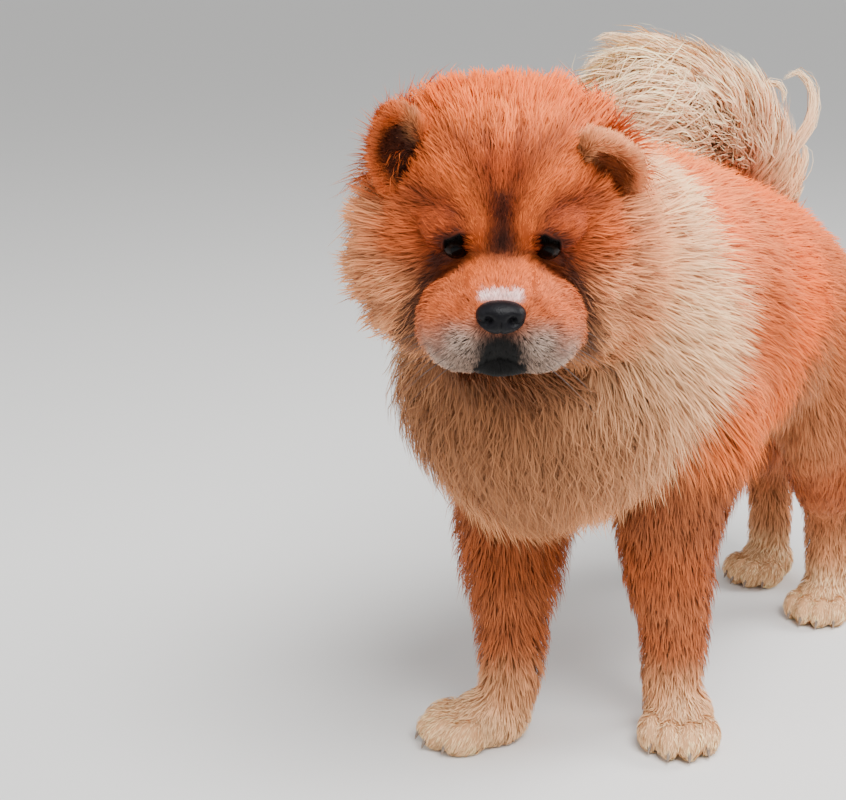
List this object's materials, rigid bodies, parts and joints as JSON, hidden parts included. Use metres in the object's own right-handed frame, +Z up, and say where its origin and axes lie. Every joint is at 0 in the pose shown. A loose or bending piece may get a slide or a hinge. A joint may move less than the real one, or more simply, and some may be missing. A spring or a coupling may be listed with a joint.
{
  "type": "chow chow dog, standing still model",
  "caption": "Life-size standing chow chow with a broad ruffed head turned to its left, small ears, sturdy legs and a plumed tail curled over its back; one still figure.",
  "frame": {"origin": "on the floor (z = 0), below the middle of the whole dog's box", "axes": "+Z up, -Y the way the body faces, +X the dog's left side; the head is turned about 35 degrees to the dog's left"},
  "size_m": [0.3622, 0.8972, 0.7085],
  "materials": {
    "rust_fur": "matte",
    "cream_fur": "matte",
    "orange_fur": "matte",
    "pale_fur": "matte",
    "nose_skin": "satin",
    "eye": "gloss"
  },
  "bodies": {
    "root": {"head": "rust_fur", "ear_right": "rust_fur", "ear_left": "rust_fur", "neck_ruff": "cream_fur", "torso": "orange_fur", "tail": "pale_fur", "nose": "nose_skin", "eye_left": "eye", "eye_right": "eye", "forepaw_right": "pale_fur", "forepaw_left": "pale_fur", "hindpaw_right": "pale_fur", "hindpaw_left": "pale_fur", "foreleg_right": "orange_fur", "foreleg_left": "orange_fur", "hock_right": "orange_fur", "hock_left": "orange_fur", "thigh_right": "orange_fur", "thigh_left": "orange_fur"}
  },
  "joints": []
}
